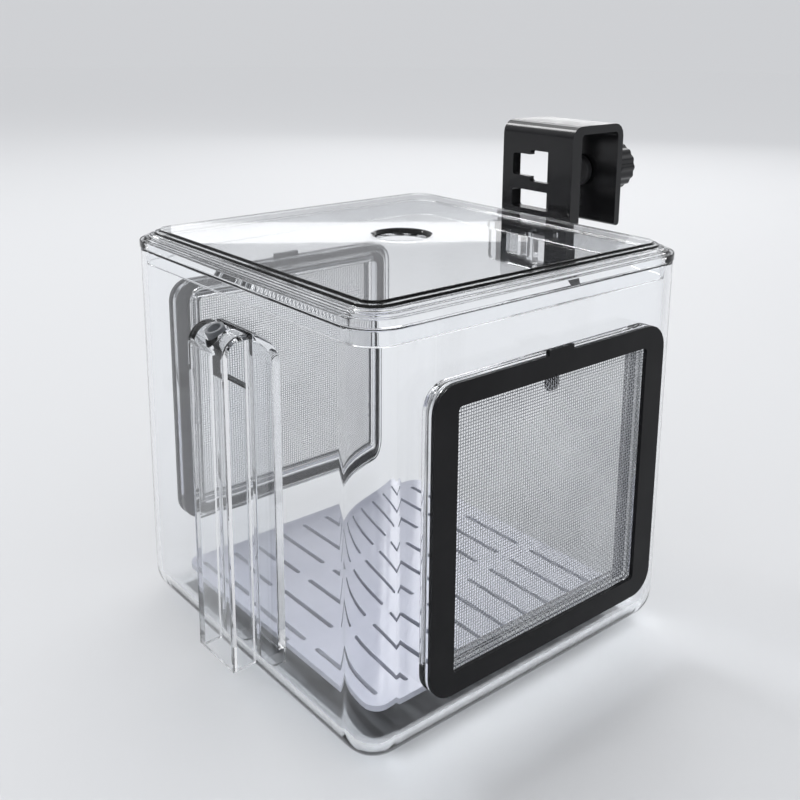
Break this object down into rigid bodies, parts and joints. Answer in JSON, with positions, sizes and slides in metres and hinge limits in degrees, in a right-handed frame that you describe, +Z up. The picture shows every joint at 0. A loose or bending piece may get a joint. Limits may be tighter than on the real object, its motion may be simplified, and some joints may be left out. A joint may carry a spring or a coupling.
{
  "type": "fish breeding box",
  "caption": "Clear hang-on fish breeding box with wire mesh windows, slotted floor plate, air lift duct, lift-off lid with feeding hole and a black clamp hook.",
  "frame": {"origin": "centre of the tank's underside, where the box stands", "axes": "+Z up, +Y towards the aquarium glass that the hook grips, -Y towards the air lift duct, +X through the right mesh window"},
  "size_m": [0.1086, 0.145, 0.1263],
  "materials": {
    "clear_acrylic": "polished clear",
    "black_plastic": "satin moulded",
    "frosted_plate": "frosted",
    "steel_wire": "woven stainless wire",
    "soft_silicone": "soft translucent"
  },
  "bodies": {
    "tank": {"tank_body": "clear_acrylic", "riser_channel": "clear_acrylic", "return_channel": "clear_acrylic", "airline_sleeve": "soft_silicone", "hanger_stud": "clear_acrylic", "spacer_block": "clear_acrylic"},
    "lid": {"lid": "clear_acrylic"},
    "floor_plate": {"floor_plate": "frosted_plate", "plate_foot_front_left": "soft_silicone", "plate_foot_front_right": "soft_silicone", "plate_foot_back_left": "soft_silicone", "plate_foot_back_right": "soft_silicone"},
    "right_cassette": {"mesh_frame_right": "black_plastic", "wire_mesh_right": "steel_wire", "backing_ring_right": "clear_acrylic"},
    "left_cassette": {"mesh_frame_left": "black_plastic", "wire_mesh_left": "steel_wire", "backing_ring_left": "clear_acrylic"},
    "hook": {"hook_bracket": "black_plastic", "clamp_bush": "black_plastic"},
    "clamp_pad": {"clamp_pad": "soft_silicone"},
    "clamp_screw": {"clamp_screw": "black_plastic", "clamp_knob": "black_plastic"}
  },
  "joints": [
    {"name": "lid_lift", "type": "slide", "parent": "tank", "child": "lid", "axis": [0, 0, 1], "range_m": [0, 0.06]},
    {"name": "floor_plate_lift", "type": "slide", "parent": "tank", "child": "floor_plate", "axis": [0, 0, 1], "range_m": [0, 0.07]},
    {"name": "right_cassette_slide", "type": "slide", "parent": "tank", "child": "right_cassette", "axis": [1, 0, 0], "range_m": [0, 0.012]},
    {"name": "left_cassette_slide", "type": "slide", "parent": "tank", "child": "left_cassette", "axis": [-1, 0, 0], "range_m": [0, 0.012]},
    {"name": "hook_unlock", "type": "slide", "parent": "tank", "child": "hook", "axis": [-1, 0, 0], "range_m": [0, 0.0071]},
    {"name": "clamp_advance", "type": "slide", "parent": "hook", "child": "clamp_pad", "axis": [0, -1, 0], "range_m": [0, 0.0055]},
    {"name": "clamp_turn", "type": "hinge", "parent": "clamp_pad", "child": "clamp_screw", "pos_m": [-0.0041, 0.085, 0.1116], "axis": [0, -1, 0], "range_deg": [0, 1980]}
  ],
  "couplings": [
    {"joint": "clamp_turn", "follows": "clamp_advance", "rad_per_m": 6283.2}
  ]
}
